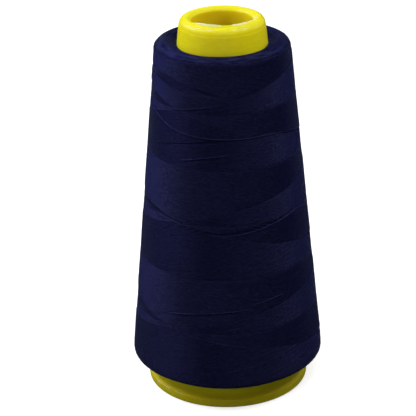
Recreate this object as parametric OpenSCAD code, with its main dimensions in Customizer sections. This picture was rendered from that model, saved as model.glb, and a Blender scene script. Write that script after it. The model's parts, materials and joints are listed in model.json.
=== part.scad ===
// Cone of sewing thread: a moulded plastic cone that carries a cross-wound package of thread.
// Origin: centre of the foot, on the surface that the cone stands on. +Z runs up the axis to the nose.
// Lengths are in millimetres and angles in degrees.

/* [Cone core] */
// Height of the core, from the foot to the top of the nose
core_h = 170; // [160:1:185]
// Outside radius of the conical wall, carried down to the foot plane
core_foot_r = 35.9; // [34:0.1:38]
// Outside radius of the conical wall, carried up to the top of the nose
core_nose_r = 18.33; // [16.5:0.01:20]
// Wall thickness of the core, measured level
core_wall = 1.8; // [1.4:0.1:3]

/* [Foot] */
// Height of the flange round the foot
flange_h = 4; // [3:0.1:6]
// How far the flange stands out from the conical wall, level with its top
flange_lip = 0.6; // [0.4:0.1:1.5]
// Height of the groove above the flange
groove_h = 1.8; // [1:0.1:3]
// Depth of the groove above the flange
groove_depth = 0.5; // [0.2:0.1:0.9]

/* [Nose] */
// Radius of the opening through the nose
bore_r = 13.2; // [11:0.1:14.8]
// Depth from the top of the nose to the lower end of the opening's wall
bore_depth = 13; // [10:0.5:20]
// Radius of the rounding round the outside of the lip
lip_outer_round = 2.9; // [1:0.1:3.4]
// Radius of the rounding into the opening
lip_inner_round = 1.4; // [0.5:0.1:2]
// Distance from the top of the nose down to the step round it
step_drop = 3.6; // [3:0.1:8]
// How far the nose steps in above that height
step_in = 0.25; // [0.1:0.05:0.3]

/* [Thread package] */
// Height of bare core below the thread
bare_foot = 9.2; // [7:0.1:14]
// Height of bare core above the thread, where the thread meets the nose
bare_nose = 11.2; // [10:0.1:20]
// Thickness of thread on the core at the lower edge of the package
thread_low = 8.4; // [6:0.1:12]
// Thickness of thread on the core at the upper end of the straight side
thread_high = 9.7; // [7:0.1:12]
// Height of the sloping underside of the package, from the core out to the lower edge
under_h = 5.2; // [3:0.1:10]
// Radius of the rounding along the lower edge
low_edge_round = 1.5; // [0.5:0.1:3]
// Height of the rounding at the top edge of the package
top_round_h = 3.3; // [2:0.1:5]
// Width of the rounding at the top edge of the package
top_round_w = 4.2; // [2:0.1:5]
// How far the end face dips towards the nose
end_dish = 0.6; // [0.2:0.1:2]

/* [Outer turns] */
// Diameter of the strand that stands for each band of fine threads
turn_d = 1; // [0.8:0.05:1.2]
// Height of the strand's middle over the body of thread that it beds into
turn_rest = 0.45; // [0.3:0.05:0.6]
// Clear height between two strokes where they cross
cross_gap = 0.55; // [0.5:0.05:0.8]
// Strokes from the foot to the nose and back
double_strokes = 4; // [2:1:4]
// Turns round the cone in one stroke there and back
turns_per_pair = 5.75; // [4.75:0.5:5.75]
// Distance from the ends of the straight side to where a stroke turns back
turn_back = 1.2; // [0.8:0.1:4]

/* [Hidden] */

plastic = "gold";
navy = "midnightblue";
inner_navy = [0.07, 0.07, 0.2];

ROUND_STEPS = 12;                // straight steps in a quarter of a rounding
EDGE_STEPS = 4;                  // straight steps in a quarter of a small edge
GROOVE_STEPS = 8;                // straight steps across the groove
RINGS = 24;                      // rings of the strand in one turn
SIDES = 6;                       // sides of the strand
FULL = 180;                      // steps round the axis

foot_edge = 0.9;                 // rounding under the flange
flange_edge = 0.4;               // rounding on top of the flange

// ---- heights and radii shared by the pieces ----

core_slope = (core_foot_r - core_nose_r) / core_h;
function core_at(z) = core_foot_r - core_slope * z;

flange_r = core_at(flange_h) + flange_lip;
step_z = core_h - step_drop;
lip_r = core_at(core_h - lip_outer_round) - step_in;
// Both roundings shrink alike where the lip is too narrow to take them side by side.
lip_share = min(1, 0.95 * (lip_r - bore_r) / (lip_outer_round + lip_inner_round));
outer_round = lip_outer_round * lip_share;
inner_round = lip_inner_round * lip_share;

bore_low = core_h - bore_depth;
hollow_r = core_foot_r - core_wall;
// The shoulder under the nose slopes at 45 degrees from the opening's wall out to the conical wall.
shoulder_z = (bore_low - hollow_r + bore_r) / (1 - core_slope);

wind_low = bare_foot;
wind_high = core_h - bare_nose;
crown_z = wind_high + end_dish;
side_low = wind_low + under_h;
side_high = crown_z - top_round_h;
side_low_r = core_at(side_low) + thread_low;
side_high_r = core_at(side_high) + thread_high;
side_slope = (side_low_r - side_high_r) / (side_high - side_low);
function side_at(z) = side_low_r - side_slope * (z - side_low);

// Where two strokes cross, the falling one rises by half of this, and the rising one beds in by
// the other half.
cross_climb = turn_d + cross_gap;
// Depth of the outer layer: strands that lie in their bed are flush with the finished surface.
turn_layer = turn_rest + turn_d / 2;

// ---- outlines, as radius and height ----

function unit(v) = v / norm(v);

// Points of an arc with half-widths w and h round a centre, both ends included.
function arc(centre, w, h, from, to, steps) =
    [for (i = [0 : steps])
        let (a = from + (to - from) * i / steps)
        centre + [w * cos(a), h * sin(a)]];

// A corner rounded to radius r, where a path that comes in along one direction bends left to the next.
function round_corner(corner, before, after, r) =
    let (bend = acos(before * after),
         centre = corner - r * tan(bend / 2) * before + r * [-before[1], before[0]],
         from = atan2(before[1], before[0]) - 90)
    arc(centre, r, r, from, from + bend, EDGE_STEPS);

function groove() =
    [for (i = [0 : GROOVE_STEPS])
        let (t = i / GROOVE_STEPS, z = flange_h + groove_h * t)
        [core_at(z) - groove_depth * sin(180 * t), z]];

module cone_outline() {
    outer_lip = [lip_r - outer_round, core_h - outer_round];
    inner_lip = [bore_r + inner_round, core_h - inner_round];
    flange_low = [flange_r - foot_edge, foot_edge];
    flange_top = [flange_r - flange_edge, flange_h - flange_edge];
    polygon(concat(
        [[hollow_r, 0]],
        arc(flange_low, foot_edge, foot_edge, -90, 0, EDGE_STEPS),
        arc(flange_top, flange_edge, flange_edge, 0, 90, EDGE_STEPS),
        groove(),
        [[core_at(step_z), step_z], [core_at(step_z) - step_in, step_z + step_in / 2]],
        arc(outer_lip, outer_round, outer_round, 0, 90, ROUND_STEPS),
        arc(inner_lip, inner_round, inner_round, 90, 180, ROUND_STEPS),
        [[bore_r, bore_low], [core_at(shoulder_z) - core_wall, shoulder_z]]
    ));
}

module package_outline() {
    contact = [core_at(wind_low), wind_low];
    low_corner = [side_low_r - turn_layer, side_low];
    top_centre = [side_high_r - turn_layer - top_round_w, side_high];
    polygon(concat(
        [contact],
        round_corner(low_corner, unit(low_corner - contact), unit([-side_slope, 1]), low_edge_round),
        arc(top_centre, top_round_w, top_round_h, 0, 90, ROUND_STEPS),
        [[core_at(wind_high), wind_high]]
    ));
}

// ---- the outer layer of turns ----

pair = turns_per_pair;
crossings = 8;                   // crossings in one turn, evenly spaced round it
climb_span = 1 / crossings;      // turns before and after a reversal in which a stroke changes level
blend = 1 / 12;                  // turns over which a stroke bends back
end_skip = 4;                    // rings left out at each end, so that the two ends stay apart
turn_low = side_low + turn_back;
turn_high = side_high - turn_back;
pitch = (turn_high - turn_low) / (pair / 2 - blend);

function smooth(t) = let (u = min(max(t, 0), 1)) u * u * (3 - 2 * u);
// Way along a stroke at x turns from its reversal, rounded where it turns back.
function stroke(x) = x < blend ? x * x / (2 * blend) : x - blend / 2;
function phase(n) = n - pair * floor(n / pair);
function turn_z(n) =
    let (a = phase(n), from_low = min(a, pair - a))
    from_low < pair / 4
        ? turn_low + pitch * stroke(from_low)
        : turn_high - pitch * stroke(pair / 2 - from_low);
// -1 on a rising stroke and 1 on a falling one, turning from one to the other at each reversal.
function falling(n) =
    let (a = phase(n), past_low = a < 3 / 4 * pair ? a : a - pair)
    past_low < pair / 4
        ? 1 - 2 * smooth(0.5 + past_low / (2 * climb_span))
        : 2 * smooth(0.5 + (a - pair / 2) / (2 * climb_span)) - 1;
// Height of the strand's middle: it leaves its bed only near a crossing.
function turn_height(n) = turn_rest + falling(n) * cross_climb / 2 * max(0, cos(360 * crossings * n));

// Direction square to the side of the package, n turns round.
side_tilt = atan(side_slope);
function outward(n) =
    [sin(360 * n) * cos(side_tilt), -cos(360 * n) * cos(side_tilt), sin(side_tilt)];
// A point at a height over the body of thread, n turns round.
function turn_point(n, height) =
    let (z = turn_z(n), r = side_at(z) - turn_layer)
    [r * sin(360 * n), -r * cos(360 * n), z] + height * outward(n);

function reverse(list) = [for (i = [len(list) - 1 : -1 : 0]) list[i]];

// The strand comes straight out of the body of thread for one diameter, square to its side, and
// bends into the first turn. next is the point that it goes on to.
end_bend = 0.75 * turn_d;
function end_points(n, next) =
    let (corner = turn_point(n, end_bend),
         out = outward(n),
         along = unit(next - corner),
         centre = corner + end_bend * (along - out))
    concat([corner - (end_bend + turn_d) * out],
        [for (a = [0 : 30 : 90]) centre + end_bend * (sin(a) * out - cos(a) * along)]);
END_POINTS = 5;                  // points that end_points gives

first_ring = end_skip;
last_ring = round(double_strokes * pair * RINGS) - end_skip;
wound = [for (k = [first_ring + 1 : last_ring - 1]) turn_point(k / RINGS, turn_height(k / RINGS))];
strand = concat(
    end_points(first_ring / RINGS, wound[0]),
    wound,
    reverse(end_points(last_ring / RINGS, wound[len(wound) - 1]))
);

// Ring of points round the strand at point i, square to its direction there.
function ring(path, i) =
    let (last = len(path) - 1,
         ahead = unit(path[min(i + 1, last)] - path[max(i - 1, 0)]),
         back = i == 0 || i == last ? ahead : unit(path[i] - path[i - 1]),
         fore = i == 0 || i == last ? ahead : unit(path[i + 1] - path[i]),
         along = unit(back + fore),
         up = unit([0, 0, 1] - along[2] * along),
         side = cross(along, up))
    [for (s = [0 : SIDES - 1])
        path[i] + turn_d / 2 * (cos(360 * s / SIDES) * up + sin(360 * s / SIDES) * side)];

module tube(path) {
    rings = len(path);
    points = [for (i = [0 : rings - 1]) each ring(path, i)];
    sides = [for (i = [0 : rings - 2]) for (s = [0 : SIDES - 1])
        let (a = i * SIDES + s, b = i * SIDES + (s + 1) % SIDES)
        each [[a, b + SIDES, b], [a, a + SIDES, b + SIDES]]];
    first_cap = [for (s = [1 : SIDES - 2]) [0, s, s + 1]];
    end = (rings - 1) * SIDES;
    last_cap = [for (s = [1 : SIDES - 2]) [end, end + s + 1, end + s]];
    polyhedron(points, concat(sides, first_cap, last_cap), convexity = 20);
}

// Least clear distance from the strand to itself, measured on points FINE to a ring. A point is compared
// with those of the other turns that lie near it round the cone, and an end with the whole strand.
FINE = 8;
function finely(path) =
    [for (i = [0 : len(path) - 2]) for (k = [0 : FINE - 1])
        path[i] + (path[i + 1] - path[i]) * k / FINE];
function least_gap(path) =
    let (points = finely(path),
         turn = RINGS * FINE,
         count = len(points),
         end = END_POINTS * FINE)
    min([for (i = [0 : count - 1])
        let (at_end = i < end || i >= count - end)
        for (j = at_end ? [0 : count - 1] : [i + turn : turn : count - 1])
        for (k = at_end ? [j] : [max(j - FINE, 0) : min(j + FINE, count - 1)])
        if (abs(k - i) > turn / 2)
        norm(points[i] - points[k])]) - turn_d;

// ---- pieces ----

module cone_core() {
    color(plastic)
        rotate_extrude($fn = FULL)
            cone_outline();
}

module wound_thread() {
    color(inner_navy)
        rotate_extrude($fn = FULL)
            package_outline();
}

module thread_turns() {
    echo(turns = (last_ring - first_ring) / RINGS, least_gap_mm = least_gap(strand));
    color(navy)
        tube(strand);
}

cone_core();
wound_thread();
thread_turns();
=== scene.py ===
"""A cone of navy sewing thread: a moulded yellow cone that carries a cross-wound package.

Metres, +Z up the axis, origin at the centre of the foot. An angle round the axis is 0 at the
front (-Y) and grows to the right (+X) as the camera sees it.
"""
import json
import math
from dataclasses import dataclass

import bpy
import numpy as np
from mathutils import Matrix, Vector


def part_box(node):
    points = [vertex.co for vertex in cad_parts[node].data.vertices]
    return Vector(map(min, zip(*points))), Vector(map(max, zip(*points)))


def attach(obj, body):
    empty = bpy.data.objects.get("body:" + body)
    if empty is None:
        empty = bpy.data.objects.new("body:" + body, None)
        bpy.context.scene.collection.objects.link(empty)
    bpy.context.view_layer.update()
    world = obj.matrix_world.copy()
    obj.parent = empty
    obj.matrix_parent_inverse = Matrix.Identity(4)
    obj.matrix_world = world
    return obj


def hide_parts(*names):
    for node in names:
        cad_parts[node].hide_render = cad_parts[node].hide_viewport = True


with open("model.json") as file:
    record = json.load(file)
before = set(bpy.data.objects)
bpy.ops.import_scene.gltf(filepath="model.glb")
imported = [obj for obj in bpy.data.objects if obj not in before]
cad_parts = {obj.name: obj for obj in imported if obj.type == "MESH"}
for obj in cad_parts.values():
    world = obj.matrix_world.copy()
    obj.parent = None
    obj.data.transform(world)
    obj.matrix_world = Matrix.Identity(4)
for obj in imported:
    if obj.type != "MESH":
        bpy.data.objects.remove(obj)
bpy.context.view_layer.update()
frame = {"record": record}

MM = 0.001
TURN = 2 * math.pi

# ---- sizes, from the frame where it gives them ----

CORE_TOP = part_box("cone_core")[1].z
FLANGE_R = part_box("cone_core")[1].x
WIND_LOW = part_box("wound_thread")[0].z            # where the package meets the core below
BORE_R = frame["record"]["mounts"][0]["dims"]["r_mm"] * MM

CORE_FOOT_R = 35.9 * MM                           # conical wall, carried down to the foot plane
CORE_NOSE_R = 18.33 * MM                          # conical wall, carried up to the top
CORE_WALL = 1.8 * MM
CORE_SLOPE = (CORE_FOOT_R - CORE_NOSE_R) / CORE_TOP

UNDER_H = 4.7 * MM                                # height of the package's sloping underside
SIDE_LOW = WIND_LOW + UNDER_H                     # lower edge of the package
SIDE_LOW_R = 43.0 * MM
SIDE_HIGH = 156 * MM                              # where the side turns into the top edge
SIDE_HIGH_R = 29.47 * MM
SIDE_SLOPE = (SIDE_LOW_R - SIDE_HIGH_R) / (SIDE_HIGH - SIDE_LOW)
CROWN = 160.1 * MM                                # highest ring of the package
END_DISH = 2.0 * MM                               # how far the end dips to the nose
DISH_POWER = 3                                    # the dip grows as this power of the way in
TOP_ROUNDNESS = 3.4                               # exponent of the top edge's superellipse
LOW_EDGE_ROUND = 1.3 * MM
TOP_STEPS = 200                                   # points over the package's top
LOW_EDGE_STEPS = 16                               # and round its lower edge
OUTLINE_STEPS = 4000                              # places at which the outline is kept
SUNK = 1.0 * MM                                   # how far a layer of thread runs on into the core


def core_radius(z):
    return CORE_FOOT_R - CORE_SLOPE * z


# ---- the package's outline, by its distance s along the side ----

def corner_arc(corner, before, after, radius, steps):
    """Points of a corner rounded to a radius, between two directions, turning left."""
    bend = math.acos(before @ after)
    left = np.array([-before[1], before[0]])
    centre = corner - radius * math.tan(bend / 2) * before + radius * left
    start = math.atan2(before[1], before[0]) - math.pi / 2
    angles = start + np.linspace(0, bend, steps)
    return centre + radius * np.stack([np.cos(angles), np.sin(angles)], 1)


def package_outline():
    """Radius and height of the finished package, from inside the core below to inside it above."""
    contact = np.array([core_radius(WIND_LOW), WIND_LOW])
    edge = np.array([SIDE_LOW_R, SIDE_LOW])
    under = (edge - contact) / np.linalg.norm(edge - contact)
    side = np.array([-SIDE_SLOPE, 1]) / math.hypot(SIDE_SLOPE, 1)
    neck_r = core_radius(CROWN)
    angles = np.linspace(0, math.pi / 2, TOP_STEPS)
    inward = 1 - np.cos(angles) ** (2 / TOP_ROUNDNESS)
    top_r = SIDE_HIGH_R - (SIDE_HIGH_R - neck_r) * inward
    rise = np.sin(angles) ** (2 / TOP_ROUNDNESS)
    top_z = SIDE_HIGH + (CROWN - SIDE_HIGH) * rise - END_DISH * inward ** DISH_POWER
    return np.concatenate([
        [contact - SUNK * under],
        corner_arc(edge, under, side, LOW_EDGE_ROUND, LOW_EDGE_STEPS),
        np.stack([top_r, top_z], 1),
        [[top_r[-1] - SUNK, top_z[-1]]],
    ])


class Outline:
    """The package's outline as a curve over s, which equals the height on the straight side."""

    def __init__(self, points, side_z, side_slope):
        steps = np.linalg.norm(np.diff(points, axis=0), axis=1)
        length = np.concatenate([[0], np.cumsum(steps)]) / math.hypot(1, side_slope)
        at_side = np.interp(side_z, points[:, 1], length)
        fine = np.linspace(0, length[-1], OUTLINE_STEPS)
        self.s = fine - at_side + side_z
        self.r = np.interp(fine, length, points[:, 0])
        self.z = np.interp(fine, length, points[:, 1])
        dr, dz = np.gradient(self.r, fine), np.gradient(self.z, fine)
        size = np.hypot(dr, dz)
        self.nr, self.nz = dz / size, -dr / size

    def point(self, phi, s, height):
        """Points at an angle, a place along the outline and a height over it."""
        nr, nz = np.interp(s, self.s, self.nr), np.interp(s, self.s, self.nz)
        r = np.interp(s, self.s, self.r) + height * nr
        z = np.interp(s, self.s, self.z) + height * nz
        return np.stack([r * np.sin(phi), -r * np.cos(phi), z], -1)


PACKAGE = Outline(package_outline(), (SIDE_LOW + SIDE_HIGH) / 2, SIDE_SLOPE)
S_FROM, S_TO = PACKAGE.s[0], PACKAGE.s[-1]


# ---- smooth noise ----

NOISE_TURNS = 24                                  # turns that the noise goes on for, each way
EDGE_KNOTS = 7                                    # bends in a turn: of a lap's edge,
GENTLE_KNOTS = 11                                 # of strands that lie a little high or low,
STRONG_KNOTS = 5                                  # and of those that ride up or sink


def smooth(t):
    t = np.clip(t, 0, 1)
    return t * t * (3 - 2 * t)


def wave_noise(rng, rows, turns, knots_per_turn):
    """A function of (row, turns wound) that wanders smoothly between -1 and 1 along each row."""
    values = rng.uniform(-1, 1, (rows, 2 * turns * knots_per_turn + 2))

    def at(row, wound):
        x = (wound + turns) * knots_per_turn
        k = np.floor(x).astype(int)
        f = smooth(x - k)
        return values[row, k] * (1 - f) + values[row, k + 1] * f
    return at


# ---- the outer layers: laps of strands laid side by side ----

STRAND = 0.306 * MM                               # spacing of the strands
RIDGE = 0.075 * MM                                # height of a strand's crest over its mean
LAP_H = 0.28 * MM                                 # from a lap's oldest strand up to its newest
SETTLED = 0.10 * MM                               # the crests stand at the outline, not the mean
MEAN_FRESH = 2 / 3                                # mean freshness of what shows
CROSS_STEP = 0.09 * MM                            # lift of the fresher layer where two are equal
CROSS_SOFT = 0.03                                 # freshness over which that lift turns over
HIDDEN = 0.12                                     # staler than the other layer by this, it is covered
POINTS = 4                                        # grid lines in one strand
RINGS = 80                                        # grid lines in one turn
OLD_EXTRA = 8                                     # grid lines that run on under the next lap
RIDE_UP = 0.09 * MM                               # how far a strand may ride up or sink
RIDE_RARE = 5                                     # the higher, the fewer strands do
UNEVEN_SEED = 100                                 # added to a winding's own seed
FLANK_S = np.array([0.03, 0.05]) * MM             # where a lap's newest edge turns down,
FLANK_H = np.array([-0.18, -0.6]) * MM            # and how far
FLANK_ACROSS = 0.2                                # the flank's place on the map, in strand widths


@dataclass(frozen=True)
class Winding:
    """Strands wound one way. Each double stroke lays the next strand beside the last one."""
    name: str
    turn: int          # 1 climbs to the right, -1 falls to the right
    start: float       # place of the newest strand of lap 0, at the front
    strands: int       # strands in one lap
    seed: int
    wander: float      # how far a lap's edge strays
    uneven: float      # how far its strands lie high or low

    @property
    def pitch(self):
        return self.strands * STRAND

    def wound(self, lap, phi):
        """Turns wound since the start, which run on from lap to lap at the back."""
        return phi / TURN - self.turn * lap

    def newest(self, lap, phi):
        """Place of a lap's newest strand, which strays a little from its spiral."""
        stray = wave_noise(np.random.default_rng(self.seed), 1, NOISE_TURNS, EDGE_KNOTS)
        wound = self.wound(lap, phi)
        return self.start - self.pitch * lap + self.turn * self.pitch * phi / TURN + (
            self.wander * stray(0, wound))

    def oldest(self, lap, phi):
        """Place of its oldest one, which lies against the newest of the lap before."""
        return self.newest(lap + self.turn, phi)

    def laps(self, low, high):
        """Laps that reach between two places, at any angle."""
        return range(math.floor((self.start - high) / self.pitch) - 1,
                     math.ceil((self.start - low) / self.pitch) + 2)

    def freshness(self, phi, s):
        """0 at a lap's oldest strand and 1 at its newest."""
        fresh = np.zeros(np.broadcast(phi, s).shape)
        for lap in self.laps(s.min(), s.max()):
            old, new = self.oldest(lap, phi), self.newest(lap, phi)
            t = (s - old) / (new - old)
            fresh = np.where((t >= 0) & (t < 1), t, fresh)
        return fresh


RISING = Winding("rising", 1, 142.2 * MM, 160, 11, 0.5 * MM, 0.014 * MM)
FALLING = Winding("falling", -1, 132.0 * MM, 160, 12, 0.5 * MM, 0.014 * MM)
TOP_IN = Winding("top_inward", 1, 166.0 * MM, 40, 13, 0.3 * MM, 0.05 * MM)
TOP_OUT = Winding("top_outward", -1, 160.5 * MM, 40, 14, 0.3 * MM, 0.05 * MM)
FOOT_IN = Winding("foot_inward", 1, 15.0 * MM, 40, 15, 0.3 * MM, 0.014 * MM)
FOOT_OUT = Winding("foot_outward", -1, 9.5 * MM, 40, 16, 0.3 * MM, 0.014 * MM)
SIDE_PAIR = (RISING, FALLING)

TOP_JOIN = 158.6 * MM                             # where the side's strokes turn back, above
FOOT_JOIN = 12.0 * MM                             # and below
JOIN_SOFT = 1.0 * MM
JOIN_DIP = 0.5 * MM                               # how far a layer sinks beyond its join
JOIN_OVERLAP = 1.2 * MM


@dataclass(frozen=True)
class Zone:
    """A stretch of the outline that one pair of windings covers."""
    low: float
    high: float
    pair: tuple

    def dip(self, s):
        """Height lost beyond the ends of the zone, where it meets another."""
        over = np.zeros(np.shape(s))
        if self.low > S_FROM:
            over = over + smooth((self.low - s) / JOIN_SOFT + 0.5)
        if self.high < S_TO:
            over = over + smooth((s - self.high) / JOIN_SOFT + 0.5)
        return JOIN_DIP * over


ZONES = [
    Zone(FOOT_JOIN, TOP_JOIN, SIDE_PAIR),
    Zone(TOP_JOIN, S_TO, (TOP_IN, TOP_OUT)),
    Zone(S_FROM, FOOT_JOIN, (FOOT_IN, FOOT_OUT)),
]


class Course:
    """A smooth line over the package, through points of (degrees from the front, height in mm)."""

    def __init__(self, *points):
        degrees, heights = np.array(points, float).T
        self.phi = np.radians(degrees)
        self.heights = heights * MM
        self.slopes = np.gradient(self.heights, self.phi)
        self.start, self.end = self.phi[[0, -1]]

    def s(self, phi):
        x = np.clip(phi, self.start, self.end)
        k = np.clip(np.searchsorted(self.phi, x) - 1, 0, len(self.phi) - 2)
        width = self.phi[k + 1] - self.phi[k]
        t = (x - self.phi[k]) / width
        swing = (1 - t) * self.slopes[k] - t * self.slopes[k + 1]
        rise = self.heights[k + 1] - self.heights[k]
        return self.heights[k] + smooth(t) * rise + t * (1 - t) * width * swing

    def within(self, phi, soft_degrees):
        """1 between the line's ends, and 0 beyond them."""
        soft = math.radians(soft_degrees)
        return smooth((phi - self.start) / soft) * smooth((self.end - phi) / soft)


# Furrows that tight strands have pressed into the side: course, depth, half width.
FURROWS = [
    (Course((-80, 116), (-52, 120.6), (-25, 123.9), (0, 125.6), (40, 127.2)), 0.34 * MM, 0.40 * MM),
    (Course((-90, 93.1), (-79, 92.3), (-68.5, 91.4), (-60, 90.7), (-52, 90.1), (-44, 89.5)),
     0.60 * MM, 0.50 * MM),
    (Course((-60, 90.8), (-52, 90.1), (-45.4, 89.5), (-39.7, 88.8), (-32.8, 87.9), (-24.9, 86.8),
            (-14.1, 85.3), (0, 84.5), (14, 84.2)), 0.60 * MM, 0.34 * MM),
    (Course((-4, 84.9), (15.6, 85.5), (29.7, 87.0), (40.4, 88.0), (53.8, 89.4), (70, 89.6)),
     0.60 * MM, 0.34 * MM),
    (Course((-66, 133.3), (-52.7, 130.1), (-38.9, 127.7), (-24.2, 126.5), (0, 125.7)),
     0.34 * MM, 0.36 * MM),
    (Course((-84, 34.5), (-74.8, 36.6), (-60, 40.4), (-47.2, 43.7), (-40.2, 44.9), (-30.9, 45.9),
            (-17.2, 47.2), (-4.5, 48.4), (10, 49.2)), 0.42 * MM, 0.34 * MM),
    (Course((-50, 136.0), (-32, 137.5), (-15, 139.1)), 0.30 * MM, 0.32 * MM),
    (Course((-76, 148.3), (-58, 147.7), (-47, 146.4), (-38, 145.7), (-25, 145.0)),
     0.35 * MM, 0.45 * MM),
    (Course((-9, 142.6), (-1, 143.4)), 0.35 * MM, 0.40 * MM),
    (Course((-35, 115), (-18, 117.2), (0, 119)), 0.25 * MM, 0.30 * MM),
]
FURROW_ENDS = 12                                  # degrees over which a furrow starts and ends
FURROW_SUNK = 0.5                                 # share of its depth that its strands sink; the rest is painted shade
FURROW_DARK = 0.6 * MM                            # depth at which the shade painted on its threads is full
SHADOW_POWER = 1.5                                # the painted shadow grows as this power of the depth


def furrow_depth(phi, s):
    """How far the strands part."""
    depth = np.zeros(np.broadcast(phi, s).shape)
    for course, deepest, half_width in FURROWS:
        across = (s - course.s(phi)) / half_width
        depth += deepest * np.exp(-across ** 2) * course.within(phi, FURROW_ENDS)
    return depth


# Where the falling strands leave a gap near the top, that shows the rising ones: middle, half width.
GAP = Course((-150, 151.0), (-78, 149.9), (-59, 149.8), (-47, 148.7), (-38, 147.9), (-31, 146.9),
             (-20, 146.0), (0, 144.5))
GAP_HALF = Course((-150, 0), (-110, 1.3), (-78, 1.65), (-59, 2.2), (-47, 2.5), (-38, 2.3),
                  (-20, 1.5), (0, 0))
GAP_SOFT = 0.3 * MM                               # how softly its edges turn over
GAP_SUNK = 0.2 * MM                               # how far the strands in it lie lower
GAP_ENDS = 2                                      # degrees over which it starts and ends


def gap(phi, s):
    """1 in the gap, and 0 outside."""
    inside = GAP_HALF.s(phi) - np.abs(s - GAP.s(phi))
    return smooth(inside / GAP_SOFT) * GAP.within(phi, GAP_ENDS)


def layer_height(fresh, lead):
    """Mean height of a layer that leads the crossing one by a freshness."""
    return LAP_H * (fresh - MEAN_FRESH) - SETTLED + CROSS_STEP * np.clip(lead / CROSS_SOFT, -1, 1)


def ground(phi, s):
    """Height of what shows on the side, but for its furrows."""
    rising, falling = RISING.freshness(phi, s), FALLING.freshness(phi, s)
    return np.maximum(layer_height(rising, rising - falling), layer_height(falling, falling - rising))


def lap_height(zone, own, lead, fresh, phi, s):
    """Mean height of a lap over the outline, before its strands are told apart."""
    height = layer_height(fresh, lead) - FURROW_SUNK * furrow_depth(phi, s) - zone.dip(s)
    if zone.pair == SIDE_PAIR and own is RISING:
        height = height - GAP_SUNK * gap(phi, s)
    return height


def lap_grid(zone, own, other, lap, unevenness):
    """Points of one lap as a grid, with which of its faces show, how it is wound and the shadow painted on
    it.
    """
    phi = np.linspace(-math.pi, math.pi, RINGS + 1)[:, None]
    columns = np.arange(-OLD_EXTRA, own.strands * POINTS + 1)[None, :]
    fresh = columns / (own.strands * POINTS) + 0 * phi
    s = own.oldest(lap, phi) + fresh * (own.newest(lap, phi) - own.oldest(lap, phi))
    lead = np.clip(fresh, 0, 1) - other.freshness(phi, s)
    if zone.pair == SIDE_PAIR:
        lead = lead + own.turn * gap(phi, s)

    strand = np.clip(columns // POINTS, 0, own.strands - 1)
    ridges = unevenness(strand, own.wound(lap, phi)) - RIDGE * np.cos(TURN * columns / POINTS)
    height = lap_height(zone, own, lead, fresh, phi, s) + ridges

    # The newest edge turns down, as the flank of its last strand.
    s = np.concatenate([s, s[:, -1:] + own.turn * FLANK_S], 1)
    height = np.concatenate([height, height[:, -1:] + FLANK_H], 1)
    lead = np.concatenate([lead, lead[:, -1:], lead[:, -1:]], 1)
    shown = (lead > -HIDDEN) & (s > zone.low - JOIN_OVERLAP) & (s < zone.high + JOIN_OVERLAP)
    shown = shown & (s >= S_FROM) & (s <= S_TO)

    along = own.wound(lap, phi) * TURN * SIDE_LOW_R / STRAND + 0 * s
    flank_across = own.strands + FLANK_ACROSS + 0 * FLANK_S
    across = np.concatenate([columns / POINTS + 0 * phi, flank_across + 0 * phi], 1)
    # Painted shadow: the deeper the furrow, the darker its threads are painted.
    shadow = np.clip(furrow_depth(phi, s) / FURROW_DARK, 0, 1) ** SHADOW_POWER
    return PACKAGE.point(phi, s, height), faces_showing(shown), along, across, shadow


def faces_showing(shown):
    """Faces with a showing corner, and one more all round them."""
    faces = shown[:-1, :-1] | shown[1:, :-1] | shown[:-1, 1:] | shown[1:, 1:]
    grown = faces.copy()
    grown[1:] |= faces[:-1]
    grown[:-1] |= faces[1:]
    grown[:, 1:] |= faces[:, :-1]
    grown[:, :-1] |= faces[:, 1:]
    return grown


def uneven_strands(own):
    """Strands lie a little high or low, and here and there one rides up or sinks."""
    rng = np.random.default_rng(own.seed + UNEVEN_SEED)
    gentle = wave_noise(rng, own.strands + 1, NOISE_TURNS, GENTLE_KNOTS)
    strong = wave_noise(rng, own.strands, NOISE_TURNS, STRONG_KNOTS)

    def at(strand, wound):
        bump = strong(strand, wound)
        pair = gentle(strand, wound) + gentle(strand + 1, wound)
        return own.uneven * pair + RIDE_UP * bump * np.abs(bump) ** RIDE_RARE
    return at


# ---- meshes ----

BAKE_MARGIN = 0.01                                # free edge round each grid on the bake map


def grid_mesh(name, grids, flip=False):
    """One mesh of several grids: each gives points, the faces that show, two maps and a painted shadow."""
    points, quads, normals, strand_uv, bake_uv, shadows = [], [], [], [], [], []
    count = 0
    for index, (grid, faces, along, across, shadow) in enumerate(grids):
        rows, columns = grid.shape[:2]
        number = np.arange(rows * columns).reshape(rows, columns)
        corners = np.stack([number[:-1, :-1], number[1:, :-1], number[1:, 1:], number[:-1, 1:]], -1)[faces]
        if flip:
            corners = corners[:, ::-1]
        used = np.unique(corners)
        renumber = np.full(rows * columns, -1)
        renumber[used] = np.arange(len(used))
        normal = np.cross(np.gradient(grid, axis=0), np.gradient(grid, axis=1)).reshape(-1, 3)
        if flip:
            normal = -normal
        u = (np.arange(rows) / (rows - 1))[:, None] + 0 * across
        inside = BAKE_MARGIN + (1 - 2 * BAKE_MARGIN) * np.arange(columns) / (columns - 1)
        v = (index + inside) / len(grids) + 0 * u
        points.append(grid.reshape(-1, 3)[used])
        normals.append(normal[used])
        quads.append(renumber[corners] + count)
        strand_uv.append(np.stack([along, across], -1).reshape(-1, 2)[used])
        bake_uv.append(np.stack([u, v], -1).reshape(-1, 2)[used])
        shadows.append((shadow + 0 * across).reshape(-1)[used])
        count += len(used)
    piece = build_mesh(name, *map(np.concatenate, (points, quads, normals, strand_uv, bake_uv)))
    # The furrows' painted shadow, which darkens the thread's colour.
    point_values(piece, "furrow", np.concatenate(shadows))
    return piece


def point_values(piece, title, values):
    """Gives every point of a mesh a number, which the material reads."""
    mask = piece.data.attributes.new(title, "FLOAT", "POINT")
    mask.data.foreach_set("value", values.astype(np.float32).ravel())


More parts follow.
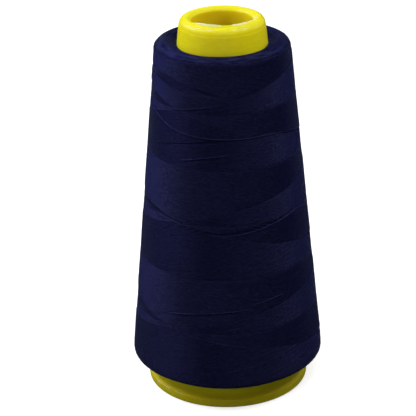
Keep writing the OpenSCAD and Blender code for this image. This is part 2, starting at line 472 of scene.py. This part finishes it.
def build_mesh(name, points, quads, normals, strand_uv, bake_uv):
    mesh = bpy.data.meshes.new(name)
    mesh.vertices.add(len(points))
    mesh.vertices.foreach_set("co", points.astype(np.float32).ravel())
    mesh.loops.add(quads.size)
    mesh.loops.foreach_set("vertex_index", quads.astype(np.int32).ravel())
    mesh.polygons.add(len(quads))
    mesh.polygons.foreach_set("loop_start", np.arange(0, quads.size, 4, dtype=np.int32))
    for title, uv in (("OFBake", bake_uv), ("Strand", strand_uv)):
        layer = mesh.uv_layers.new(name=title)
        layer.data.foreach_set("uv", uv[quads.ravel()].astype(np.float32).ravel())
    mesh.update(calc_edges=True)
    mesh.polygons.foreach_set("use_smooth", np.ones(len(quads), bool))
    normals = normals / np.maximum(np.linalg.norm(normals, axis=1, keepdims=True), 1e-12)
    mesh.normals_split_custom_set_from_vertices(normals.tolist())
    piece = bpy.data.objects.new(name, mesh)
    bpy.context.scene.collection.objects.link(piece)
    return piece


def lathe(name, outline, steps, raised=0.0):
    """A closed outline of (radius, height), turned round the axis. It runs clockwise."""
    phi = np.linspace(0, TURN, steps + 1)[:-1, None]
    count = len(outline)
    radius = outline[:, 0] + 0 * phi
    points = np.stack([np.sin(phi) * radius, -np.cos(phi) * radius, outline[:, 1] + raised + 0 * phi], -1)
    mesh = bpy.data.meshes.new(name)
    number = np.arange(steps * count).reshape(steps, count)
    right, up = np.roll(number, -1, 0), np.roll(number, -1, 1)
    quads = np.stack([number, right, np.roll(right, -1, 1), up], -1).reshape(-1, 4)
    mesh.from_pydata(points.reshape(-1, 3).tolist(), [], quads.tolist())
    sides = np.linalg.norm(np.diff(outline, axis=0, append=outline[:1]), axis=1)
    length = np.concatenate([[0], np.cumsum(sides)])
    layer = mesh.uv_layers.new(name="OFBake")
    i, j = np.divmod(np.arange(steps * count), count)
    uv = np.stack([
        np.stack([i, i + 1, i + 1, i], -1) / steps,
        np.stack([length[j], length[j], length[j + 1], length[j + 1]], -1) / length[-1],
    ], -1)
    layer.data.foreach_set("uv", uv.astype(np.float32).ravel())
    piece = bpy.data.objects.new(name, mesh)
    bpy.context.scene.collection.objects.link(piece)
    return piece


def shade(piece, sharp_degrees):
    """Smooth shading, with edges sharper than an angle left crisp."""
    piece.data.shade_smooth()
    piece.data.set_sharp_from_angle(angle=math.radians(sharp_degrees))


# ---- the cone ----

def arc(centre, radius, start, end, steps):
    a = np.radians(np.linspace(start, end, steps + 1))
    return np.stack([centre[0] + radius * np.cos(a), centre[1] + radius * np.sin(a)], 1)


FLANGE_H = 4.0 * MM
FLANGE_EDGE = 0.5 * MM                            # rounding on top of the flange
FOOT_EDGE = 0.9 * MM                              # and under it
GROOVE_H = 1.9 * MM
GROOVE_DEPTH = 0.6 * MM
GROOVE_SKEW = 0.6                                 # under 1, the groove is deepest near the flange
GROOVE_CROWD = 1.5                                # over 1, its points crowd there too
STEP_DROP = 3.6 * MM                              # from the top down to the step under the lip
STEP_IN = 0.14 * MM                               # how far in the step goes
STEP_BEND = 0.15 * MM                             # height over which it goes half the way in
STEP_H = 0.5 * MM                                 # and all the way in
LIP_OUTER = 2.9 * MM                              # rounding of the lip outside
LIP_INNER = 2.2 * MM                              # and into the opening
LIP_LINE = 50                                     # degrees round the lip, to its moulding line
LIP_LINE_WIDTH = 2.6                              # in degrees, too
LIP_LINE_H = 0.07 * MM
BORE_DEPTH = 13.0 * MM
INNER_CENTRE = (BORE_R + LIP_INNER, CORE_TOP - LIP_INNER)
OUTER_CENTRE = (core_radius(CORE_TOP - LIP_OUTER) - STEP_IN - LIP_OUTER, CORE_TOP - LIP_OUTER)


def foot_outline():
    """Out over the foot's edge and up the flange."""
    low = arc((FLANGE_R - FOOT_EDGE, FOOT_EDGE), FOOT_EDGE, -90, 0, 8)
    side_z = np.linspace(FOOT_EDGE, FLANGE_H - FLANGE_EDGE, 9)[1:-1]
    side = np.stack([np.full(len(side_z), FLANGE_R), side_z], 1)
    top = arc((FLANGE_R - FLANGE_EDGE, FLANGE_H - FLANGE_EDGE), FLANGE_EDGE, 0, 90, 6)
    return np.concatenate([low, side, top])


def groove_outline():
    """The groove over the flange."""
    t = np.linspace(0, 1, 25) ** GROOVE_CROWD
    z = FLANGE_H + GROOVE_H * t
    return np.stack([core_radius(z) - GROOVE_DEPTH * np.sin(math.pi * t ** GROOVE_SKEW), z], 1)


def wall_outline():
    """Up the conical wall to the small step under the lip."""
    step_z = CORE_TOP - STEP_DROP
    z = np.append(np.linspace(FLANGE_H + GROOVE_H, step_z - STEP_BEND, 60)[1:], step_z)
    step = [
        [core_radius(step_z) - STEP_IN / 2, step_z + STEP_BEND],
        [core_radius(step_z) - STEP_IN, step_z + STEP_H],
    ]
    return np.concatenate([np.stack([core_radius(z), z], 1), step])


def lip_outline():
    """Over the lip, with its raised moulding line, and round into the opening."""
    angle = np.linspace(0, 90, 61)
    line = LIP_LINE_H * np.exp(-((angle - LIP_LINE) / LIP_LINE_WIDTH) ** 2)
    outer = arc(OUTER_CENTRE, LIP_OUTER + line, 0, 90, 60)
    inner = arc(INNER_CENTRE, LIP_INNER, 90, 180, 18)
    return np.concatenate([outer, inner])


def inside_outline():
    """Down the opening's wall, and down inside the hollow cone to the foot."""
    bore_z = np.linspace(CORE_TOP - LIP_INNER, CORE_TOP - BORE_DEPTH, 10)[1:]
    bore = np.stack([np.full(len(bore_z), BORE_R), bore_z], 1)

    # A shoulder at 45 degrees leads from that wall out to the hollow.
    hollow_r = CORE_FOOT_R - CORE_WALL
    shoulder_z = (CORE_TOP - BORE_DEPTH - hollow_r + BORE_R) / (1 - CORE_SLOPE)
    z = np.linspace(shoulder_z, 0, 40)
    return np.concatenate([bore, np.stack([core_radius(z) - CORE_WALL, z], 1)])


def cone_outline():
    """The cone's section, from the inside of the foot out, up the wall and down the opening."""
    return np.concatenate([
        foot_outline(), groove_outline(), wall_outline(), lip_outline(), inside_outline(),
    ])


# ---- materials ----

THREAD_DARK = (0.0022, 0.0023, 0.0190)
THREAD_LIGHT = (0.0209, 0.0221, 0.0710)
# Painted shade: the colour of thread in a furrow, darkened for the shadow between its strands.
FURROW_PAINTED_SHADE = (0.0008, 0.0008, 0.0030)
SIDE_FLECKS = (0.12, 0.40)                        # flecks in a strand width, along and across
SIDE_SOFT = 0.36                                  # half the stretch of noise from dark to light
END_PAINTED_LIGHT = 1.25                                  # painted light: the ends are a lighter copy of the same thread,
END_FLECKS = (0.035, 0.16)                        # and show streaks
END_SOFT = 0.16
LOOSE_PAINTED_LIGHT = 1.6                                 # painted light: a free strand is a lighter copy of the thread, as no neighbours shade it
PLY_PERIOD = 2.1                                  # strand widths from one ply to the next
PLY_TONE = 0.05                                   # how much the plies add to the flecks
THREAD_ROUGH = (0.42, 0.32)                       # roughness, in the dark and the light flecks
THREAD_BUMP = 0.28 * MM

YELLOW_LOW = (0.82, 0.735, 0.007)
YELLOW_HIGH = (0.88, 0.788, 0.010)
# painted shade: the darker yellow for the foot under the package and the opening's wall
YELLOW_PAINTED_SHADE = (0.70, 0.555, 0.006)
YELLOW_SCUFFED = (0.85, 0.78, 0.30)
# whitening of torn flash and nicks, also the colour of painted glints and highlights on the lip
YELLOW_WHITE_AND_HIGHLIGHT = (0.80, 0.82, 0.54)
CLOUD_SCALE = 300.0                               # a faint unevenness of its colour and surface
CLOUD_STRETCH = (1, 1, 3.5)
GRAIN_SCALE = 420.0                               # grains of the scuffs,
GRAIN_FADE = (0.52, 0.74)                         # and the values of noise over which they fade in
SCUFFED_SHARE = 0.14
SCUFFED_H = 1.0 * MM                              # they fade out over this, up to the flange's top
PLASTIC_ROUGH = (0.44, 0.50)                      # roughness, smooth and scuffed
PLASTIC_BUMP = 0.05 * MM


def new_material(name):
    material = bpy.data.materials.new(name)
    material.use_nodes = True
    nodes = material.node_tree.nodes
    return material, nodes, material.node_tree.links, nodes["Principled BSDF"]


def ramp(nodes, links, value, low, high, dark, light):
    """A colour that goes from dark to light as a value goes from low to high."""
    node = nodes.new("ShaderNodeValToRGB")
    node.color_ramp.elements[0].position = low
    node.color_ramp.elements[1].position = high
    node.color_ramp.elements[0].color = (*dark, 1)
    node.color_ramp.elements[1].color = (*light, 1)
    links.new(value, node.inputs["Fac"])
    return node.outputs["Color"]


def formula(nodes, links, operation, first, second=0.0, third=0.0):
    """A Math node with plain numbers or other nodes' outputs on its sockets."""
    node = nodes.new("ShaderNodeMath")
    node.operation = operation
    for socket, value in zip(node.inputs, (first, second, third)):
        if isinstance(value, (int, float)):
            socket.default_value = value
        else:
            links.new(value, socket)
    return node.outputs["Value"]


def blend(nodes, links, share, first, second):
    """A mix of two colours by a share. Each is a plain colour or another node's output."""
    node = nodes.new("ShaderNodeMix")
    node.data_type = "RGBA"
    links.new(share, node.inputs["Factor"])
    for socket, value in ((node.inputs["A"], first), (node.inputs["B"], second)):
        if isinstance(value, tuple):
            socket.default_value = (*value, 1)
        else:
            links.new(value, socket)
    return node.outputs["Result"]


def map_range(nodes, links, value, to_low, to_high, from_low=0.0, from_high=1.0):
    """A value carried from one range over to another, and kept within it."""
    node = nodes.new("ShaderNodeMapRange")
    ends = {"From Min": from_low, "From Max": from_high, "To Min": to_low, "To Max": to_high}
    for socket, end in ends.items():
        node.inputs[socket].default_value = end
    links.new(value, node.inputs["Value"])
    return node.outputs["Result"]


def noise(nodes, links, place, stretch, scale, detail, roughness=0.5):
    """Smooth noise over a place, which is first stretched along its axes."""
    mapping = nodes.new("ShaderNodeMapping")
    mapping.inputs["Scale"].default_value = stretch
    links.new(place, mapping.inputs["Vector"])
    node = nodes.new("ShaderNodeTexNoise")
    for socket, value in (("Scale", scale), ("Detail", detail), ("Roughness", roughness)):
        node.inputs[socket].default_value = value
    links.new(mapping.outputs["Vector"], node.inputs["Vector"])
    return node.outputs["Fac"]


def mesh_value(nodes, title):
    """The numbers that point_values gave the mesh."""
    node = nodes.new("ShaderNodeAttribute")
    node.attribute_name = title
    return node.outputs["Fac"]


def add_bump(nodes, links, shader, height, strength, distance):
    node = nodes.new("ShaderNodeBump")
    node.inputs["Strength"].default_value = strength
    node.inputs["Distance"].default_value = distance
    links.new(height, node.inputs["Height"])
    links.new(node.outputs["Normal"], shader.inputs["Normal"])


def ply_wave(nodes, links, along, across):
    """A wave from -1 to 1 that slants over each strand, as the plies of its twist do."""
    number = nodes.new("ShaderNodeTexWhiteNoise")
    number.noise_dimensions = "1D"
    links.new(formula(nodes, links, "FLOOR", across), number.inputs["W"])
    place = formula(nodes, links, "FRACT", across)
    slant = formula(nodes, links, "SUBTRACT", number.outputs["Value"], place)
    phase = formula(nodes, links, "MULTIPLY_ADD", along, 1 / PLY_PERIOD, slant)
    return formula(nodes, links, "SINE", formula(nodes, links, "MULTIPLY", phase, TURN))


def thread_material(name, painted_light=1.0, flecks=SIDE_FLECKS, soft=SIDE_SOFT):
    """Navy spun polyester. The Strand map counts in strand widths along and across."""
    material, nodes, links, shader = new_material(name)
    uv = nodes.new("ShaderNodeUVMap")
    uv.uv_map = "Strand"
    split = nodes.new("ShaderNodeSeparateXYZ")
    links.new(uv.outputs["UV"], split.inputs["Vector"])
    ply = ply_wave(nodes, links, split.outputs["X"], split.outputs["Y"])
    fleck = noise(nodes, links, uv.outputs["UV"], (*flecks, 1), 1.0, 3.0, 0.6)
    tone = formula(nodes, links, "MULTIPLY_ADD", ply, PLY_TONE, fleck)

    # Painted light: a paler copy of the colours, for the ends and the loose strands.
    dark, light = (tuple(painted_light * part for part in colour) for colour in (THREAD_DARK, THREAD_LIGHT))
    colours = ramp(nodes, links, tone, 0.5 - soft, 0.5 + soft, dark, light)
    # Painted shade: the furrows' shadow is painted into the colour.
    shaded = blend(nodes, links, mesh_value(nodes, "furrow"), colours, FURROW_PAINTED_SHADE)
    links.new(shaded, shader.inputs["Base Color"])
    links.new(map_range(nodes, links, fleck, *THREAD_ROUGH), shader.inputs["Roughness"])
    add_bump(nodes, links, shader, tone, 1.0, THREAD_BUMP)

    # Filaments mirror in their own colour, as a dark metal does, and their fuzz is bluer still.
    shader.inputs["Metallic"].default_value = 0.6
    shader.inputs["Specular IOR Level"].default_value = 0.0
    shader.inputs["Specular Tint"].default_value = (0.1, 0.13, 1.0, 1)
    shader.inputs["Sheen Weight"].default_value = 0.35
    shader.inputs["Sheen Roughness"].default_value = 0.3
    shader.inputs["Sheen Tint"].default_value = (0.45, 0.52, 0.96, 1)
    return material


def plastic_material():
    """Yellow moulded polypropylene: scuffed on the flange, pale where it is torn or nicked, with painted
    highlights and glints on the lip and painted shade on the foot and in the opening.
    """
    material, nodes, links, shader = new_material("yellow_plastic")
    place = nodes.new("ShaderNodeTexCoord").outputs["Object"]
    cloud = noise(nodes, links, place, CLOUD_STRETCH, CLOUD_SCALE, 2.0)
    colours = ramp(nodes, links, cloud, 0.3, 0.7, YELLOW_LOW, YELLOW_HIGH)

    split = nodes.new("ShaderNodeSeparateXYZ")
    links.new(place, split.inputs["Vector"])
    on_flange = map_range(nodes, links, split.outputs["Z"], 0.0, 1.0, FLANGE_H, FLANGE_H - SCUFFED_H)
    grains = noise(nodes, links, place, (1, 1, 1), GRAIN_SCALE, 3.0)
    speckle = map_range(nodes, links, grains, 0.0, 1.0, *GRAIN_FADE)
    scuffed = formula(nodes, links, "MULTIPLY", on_flange, speckle)

    # Painted shade on the foot under the package and on the opening's wall.
    with_shade = blend(nodes, links, mesh_value(nodes, "painted_shade"), colours, YELLOW_PAINTED_SHADE)
    share = formula(nodes, links, "MULTIPLY", scuffed, SCUFFED_SHARE)
    scuffs = blend(nodes, links, share, with_shade, YELLOW_SCUFFED)
    # Real whitening of torn flash and nicks, and painted glints and highlights on the lip.
    pale = blend(nodes, links, mesh_value(nodes, "whitening_and_highlights"), scuffs, YELLOW_WHITE_AND_HIGHLIGHT)
    links.new(pale, shader.inputs["Base Color"])
    links.new(map_range(nodes, links, scuffed, *PLASTIC_ROUGH), shader.inputs["Roughness"])
    add_bump(nodes, links, shader, cloud, 0.15, PLASTIC_BUMP)

    shader.inputs["IOR"].default_value = 1.49
    shader.inputs["Specular IOR Level"].default_value = 0.25
    shader.inputs["Subsurface Weight"].default_value = 0.8
    shader.inputs["Subsurface Radius"].default_value = (1.0, 0.85, 0.1)
    shader.inputs["Subsurface Scale"].default_value = 8.0 * MM
    return material


# ---- the object ----

def dress(piece, material, slot, *nodes):
    """Gives a piece its material and its body, and hides the CAD nodes that it stands for. The slot is not
    used.
    """
    piece.data.materials.append(material)
    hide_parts(*nodes)
    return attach(piece, "root")


CONE_STEPS = 360
CONE_SHARP = 40                                   # degrees from which the cone's edges are crisp

SHADE_FOOT_H = 9 * MM                              # below this, under the package, shade is painted into the plastic's colour,
SHADE_BORE = 0.85                                  # and on the opening's wall, by this share
SHADE_NEAR = 0.1 * MM                              # a point this near the wall is on it

# Stretches in degrees: where each starts, over how much, where it ends, over how much.
FLASH_LEFT = (-46, 6, 0, 5)                       # these go round the cone, from its front:
FLASH_RIGHT = (14, 6, 48, 6)
# a painted highlight band inside the opening's rim, at the right
INNER_HIGHLIGHT_SPAN = (12, 15, 100, 15)
TORN = (-64, 20, 80, 24)
# painted highlights on the lip's moulding line, left and right of the front
LINE_HIGHLIGHT_LEFT = (-62, 10, -8, 8)
LINE_HIGHLIGHT_RIGHT = (12, 6, 41, 6)
NICKED = (-68, 6, -32, 8)
FIN_TILT = (8, 10, 48, 14)                        # and these from the top into the opening:
INNER_HIGHLIGHT_TILT = (5, 15, 85, 20)

MARKS_SEED = 5
COARSE = (0.45, 1, 61)                            # ragged lines, as low, high and knots: these two
FINE = (0.75, 1, 241)                             # make up the height of the flash and the strength of the painted highlight,
NICK_REACH = (-1.2, 1.8, 361)                     # and this is how far down the nicks reach, in mm

FLASH_WHITE = 4                                   # over 1, so that thin flash is white as well; its whiteness is partly a painted glint
FLASH_RIGHT_SHARE = 0.8                           # of the height at the left
FLASH_H = 0.5 * MM                                # height of the ragged flash
TORN_H = 0.8 * MM                                 # and of the torn edge that it stands on
INNER_HIGHLIGHT_SHARE = 0.5
LINE_HIGHLIGHT_WIDTH = 1.6 * LIP_LINE_WIDTH
LINE_HIGHLIGHT_REACH = 0.1                                  # how near the lip's rounding, as a share of it
NICK_WHITE = 0.45
NICK_SOFT = 0.6 * MM
RIM_W = 0.4 * MM                                  # width of the flange's rim that has nicks


def painted_shade(outline):
    """Where shade is painted into the plastic's colour: on the foot under the package and on the opening's
    wall.
    """
    foot = smooth((SHADE_FOOT_H - outline[:, 1]) / MM)
    bore = (outline[:, 0] < BORE_R + SHADE_NEAR) & (outline[:, 1] > CORE_TOP - BORE_DEPTH)
    return np.maximum(foot, SHADE_BORE * bore)


def span(x, start, rise, end, fall):
    """1 over a stretch, with soft ends."""
    return smooth((x - start) / rise) * smooth((end - x) / fall)


def ragged_line(rng, phi, low, high, knots):
    """A line round the cone that jumps about between two values."""
    return np.interp(phi, np.linspace(-180, 180, knots), rng.uniform(low, high, knots))


def edge_flash(outline, phi, ragged):
    """Flash on the opening's edge: how pale it is, partly real whitening and partly a painted glint, with
    a painted highlight band inside the rim at the right; and how high it stands.
    """
    edge = (outline[:, 0] < INNER_CENTRE[0]) & (outline[:, 1] > INNER_CENTRE[1])
    tilt = np.degrees(np.arctan2(INNER_CENTRE[0] - outline[:, 0], outline[:, 1] - INNER_CENTRE[1]))
    fin = edge * span(tilt, *FIN_TILT)
    stands = fin * (span(phi, *FLASH_LEFT) + FLASH_RIGHT_SHARE * span(phi, *FLASH_RIGHT)) * ragged
    # A painted highlight band inside the rim, at the right.
    inner_highlight = INNER_HIGHLIGHT_SHARE * edge * span(tilt, *INNER_HIGHLIGHT_TILT) * span(phi, *INNER_HIGHLIGHT_SPAN)
    return np.maximum(FLASH_WHITE * stands, inner_highlight), FLASH_H * stands + TORN_H * fin * span(phi, *TORN)


def lip_line_highlight(outline, phi, ragged):
    """A painted highlight along the lip's moulding line, where the softboxes reflect in it."""
    r_from, z_from = outline[:, 0] - OUTER_CENTRE[0], outline[:, 1] - OUTER_CENTRE[1]
    off_line = np.degrees(np.arctan2(z_from, r_from)) - LIP_LINE
    on_lip = np.abs(np.hypot(r_from, z_from) / LIP_OUTER - 1) < LINE_HIGHLIGHT_REACH
    on_line = on_lip * np.exp(-(off_line / LINE_HIGHLIGHT_WIDTH) ** 2)
    return on_line * (span(phi, *LINE_HIGHLIGHT_LEFT) + span(phi, *LINE_HIGHLIGHT_RIGHT)) * ragged


def nicked_rim(outline, phi, reach):
    """Pale nicks on the edge of the flange."""
    rim = (outline[:, 0] > FLANGE_R - RIM_W) & (outline[:, 1] < FLANGE_H)
    return NICK_WHITE * rim * smooth((outline[:, 1] - FLANGE_H + reach) / NICK_SOFT) * span(phi, *NICKED)


def marks(outline):
    """How pale the plastic is all over the cone, painted highlights and glints included, and how far its
    torn edge is raised.
    """
    phi = np.degrees(np.linspace(0, TURN, CONE_STEPS + 1)[:-1, None])
    phi = np.where(phi > 180, phi - 360, phi)
    rng = np.random.default_rng(MARKS_SEED)
    coarse = ragged_line(rng, phi, *COARSE)
    ragged = coarse * ragged_line(rng, phi, *FINE)
    reach = ragged_line(rng, phi, *NICK_REACH) * MM
    flash, raised = edge_flash(outline, phi, ragged)
    white = np.maximum(flash, np.maximum(lip_line_highlight(outline, phi, ragged), nicked_rim(outline, phi, reach)))
    return np.clip(white, 0, 1), raised


def make_cone(material):
    outline = cone_outline()
    whitening_and_highlights, raised = marks(outline)
    piece = lathe("cone", outline, CONE_STEPS, raised)
    # Pale plastic: real whitening where torn or nicked, and painted glints and highlights on the lip.
    point_values(piece, "whitening_and_highlights", whitening_and_highlights)
    # Painted shade, on the foot and on the opening's wall.
    point_values(piece, "painted_shade", painted_shade(outline) + 0 * whitening_and_highlights)
    shade(piece, CONE_SHARP)
    return dress(piece, material, "core_plastic", "cone_core")


BODY_DEPTH = 0.75 * MM                            # how far the inner layers lie under the outline
BODY_ROWS = 90
BODY_STEPS = 144
BODY_SHARP = 60                                   # degrees from which the body's edges are crisp


def make_thread_body(material):
    """The inner layers, a closed body just under the laps."""
    keep = (PACKAGE.s > S_FROM + SUNK / 2) & (PACKAGE.s < S_TO - SUNK / 2)
    s = np.linspace(PACKAGE.s[keep][0], PACKAGE.s[keep][-1], BODY_ROWS)
    r = np.interp(s, PACKAGE.s, PACKAGE.r) - BODY_DEPTH * np.interp(s, PACKAGE.s, PACKAGE.nr)
    z = np.interp(s, PACKAGE.s, PACKAGE.z) - BODY_DEPTH * np.interp(s, PACKAGE.s, PACKAGE.nz)
    piece = lathe("thread_body", np.stack([r, z], 1), BODY_STEPS)
    shade(piece, BODY_SHARP)
    return dress(piece, material, "thread", "wound_thread")


def make_laps(material, end_material):
    """The outer layers. On the side each lap is a piece, and at the ends each winding is."""
    for zone in ZONES:
        for own, other in (zone.pair, zone.pair[::-1]):
            uneven = uneven_strands(own)
            laps = own.laps(max(zone.low, S_FROM), min(zone.high, S_TO))
            grids = [lap_grid(zone, own, other, lap, uneven) for lap in laps]
            grids = [g for g in grids if g[1].any()]
            if zone.pair == SIDE_PAIR:
                for number, grid in enumerate(grids):
                    piece = grid_mesh(f"lap_{own.name}_{number}", [grid], own.turn < 0)
                    dress(piece, material, "thread", "thread_turns")
            else:
                piece = grid_mesh(f"turns_{own.name}", grids, own.turn < 0)
                dress(piece, end_material, "thread", "thread_turns")


THREAD_R = 0.17 * MM                              # a strand that lies free
LOOSE_SIDES = 8
LOOSE_REST = 0.9 * THREAD_R                       # height of its middle over the crests
LOOSE_DIP = 0.45 * MM                             # how far it dips under at its ends
LOOSE_ENDS = 7                                    # degrees over which it does
LOOSE = [
    Course((-72, 135.6), (-67.8, 134.5), (-52.7, 130.9), (-38.9, 128.5), (-24.2, 127.3), (0, 126.5),
           (40, 126), (88, 121)),
    Course((-57, 89.0), (-50.5, 88.7), (-45.3, 88.4), (-39.6, 88.1), (-34.4, 87.7), (-29.4, 87.3),
           (-24, 86.9)),
    Course((0, 84.1), (15.6, 84.8), (29.7, 86.3), (40.4, 87.3), (53.8, 88.7), (69.7, 88.9)),
    Course((-40, 45.5), (-32.4, 46.5), (-17.2, 48.1), (-4.5, 49.2), (5.5, 49.6), (16, 50.2)),
    Course((-50, 136.7), (-32, 138.3), (-10, 140.5)),
    Course((-35, 115.7), (-18, 117.9), (4, 119.8)),
    Course((14, 51.4), (18.5, 51.9), (25.5, 52.7), (33.6, 53.4), (40, 53.8)),
]


def loose_grid(course):
    """A strand that lies on the side and dips under its neighbours at both ends."""
    phi = np.arange(course.start, course.end, math.radians(1))[:, None]
    around = np.linspace(0, TURN, LOOSE_SIDES + 1)[None, :]
    s = course.s(phi)
    height = ground(phi, s) + RIDGE + LOOSE_REST - LOOSE_DIP * (1 - course.within(phi, LOOSE_ENDS))
    grid = PACKAGE.point(phi, s + THREAD_R * np.sin(around), height + THREAD_R * np.cos(around))
    along = phi * SIDE_LOW_R / STRAND + 0 * around
    across = around / TURN + 0 * phi
    return grid, np.ones((len(phi) - 1, LOOSE_SIDES), bool), along, across, 0 * across


def make_loose_strands(material):
    for number, course in enumerate(LOOSE):
        piece = grid_mesh(f"loose_strand_{number}", [loose_grid(course)])
        dress(piece, material, "thread", "thread_turns")


# ---- camera, lights and floor ----

SENSOR = 36                                       # millimetres across the camera's sensor
IMAGE = 416                                       # pixels across the picture
FOCAL = 1753                                      # focal length in those pixels
AXIS_X = 225.3                                    # where the cone's axis crosses the picture's middle row
DISTANCE = 779.5 * MM
ELEVATION = math.radians(23.78)
ROLL = math.radians(-1.01)
AIM = Vector((0, 0, 81.2 * MM))


def make_camera():
    camera = bpy.data.objects.new("camera", bpy.data.cameras.new("camera"))
    bpy.context.scene.collection.objects.link(camera)
    camera.data.sensor_width = SENSOR
    camera.data.lens = FOCAL / IMAGE * SENSOR
    camera.data.shift_x = (IMAGE / 2 - AXIS_X) / IMAGE
    camera.data.clip_start = 0.01
    back = Vector((0, -math.cos(ELEVATION), math.sin(ELEVATION)))
    turn = back.to_track_quat("Z", "Y").to_matrix() @ Matrix.Rotation(ROLL, 3, "Z")
    camera.matrix_world = Matrix.Translation(AIM + DISTANCE * back) @ turn.to_4x4()
    bpy.context.scene.camera = camera


# Softboxes round the cone: azimuth (0 is the front, 90 the right), elevation and watts.
LIGHTS = {
    "rear_left": (-120, 35, 4.8),
    "left": (-90, 35, 6.4),
    "low_left": (-60, 12, 1.0),
    "low_front": (0, 12, 1.4),
    "high_front": (0, 60, 3.1),
    "high_right": (60, 65, 2.9),
    "right": (80, 45, 3.4),
    "rear_right": (120, 25, 1.4),
    "rear": (180, 40, 1.0),
}
LIGHT_SIZE = 0.45
LIGHT_DISTANCE = 1.2
ROOM_GLOW = 0.032                                 # how strongly the white room lights the cone
FLOOR_HALF = 6.0


def make_lights():
    for name, (azimuth, elevation, watts) in LIGHTS.items():
        light = bpy.data.objects.new(f"{name}_softbox", bpy.data.lights.new(f"{name}_softbox", "AREA"))
        bpy.context.scene.collection.objects.link(light)
        light.data.size = LIGHT_SIZE
        light.data.energy = watts
        a, e = math.radians(azimuth), math.radians(elevation)
        way = Vector((math.sin(a) * math.cos(e), -math.cos(a) * math.cos(e), math.sin(e)))
        facing = way.to_track_quat("Z", "Y").to_matrix().to_4x4()
        light.matrix_world = Matrix.Translation(AIM + LIGHT_DISTANCE * way) @ facing


def make_world():
    """A white room, which the camera sees brighter than it lights the cone."""
    world = bpy.data.worlds.new("studio")
    bpy.context.scene.world = world
    world.use_nodes = True
    nodes, links = world.node_tree.nodes, world.node_tree.links
    background = nodes["Background"]
    background.inputs["Color"].default_value = (1, 1, 1, 1)
    seen = nodes.new("ShaderNodeLightPath").outputs["Is Camera Ray"]
    links.new(map_range(nodes, links, seen, ROOM_GLOW, 1.0), background.inputs["Strength"])


def make_floor():
    """A pale floor, which the cone stands on and which lights nothing."""
    mesh = bpy.data.meshes.new("floor")
    corners = [(-1, -1), (1, -1), (1, 1), (-1, 1)]
    mesh.from_pydata([(x * FLOOR_HALF, y * FLOOR_HALF, 0) for x, y in corners], [], [(0, 1, 2, 3)])
    floor = bpy.data.objects.new("floor", mesh)
    bpy.context.scene.collection.objects.link(floor)
    material, _, _, shader = new_material("pale_floor")
    shader.inputs["Base Color"].default_value = (0.8, 0.8, 0.8, 1)
    shader.inputs["Roughness"].default_value = 0.9
    shader.inputs["Emission Color"].default_value = (1, 1, 1, 1)
    shader.inputs["Emission Strength"].default_value = 0.6
    mesh.materials.append(material)
    floor.visible_diffuse = False
    floor.visible_glossy = False


def main():
    make_camera()
    make_lights()
    make_world()
    make_floor()
    bpy.context.scene.view_settings.view_transform = "Standard"
    yellow, navy = plastic_material(), thread_material("navy_thread")
    make_cone(yellow)
    make_thread_body(navy)
    # The ends get a lighter copy of the thread, as painted light.
    make_laps(navy, thread_material("navy_end_thread", END_PAINTED_LIGHT, END_FLECKS, END_SOFT))
    # The loose strands get a lighter copy of the thread, as painted light.
    make_loose_strands(thread_material("navy_loose_thread", LOOSE_PAINTED_LIGHT))


main()
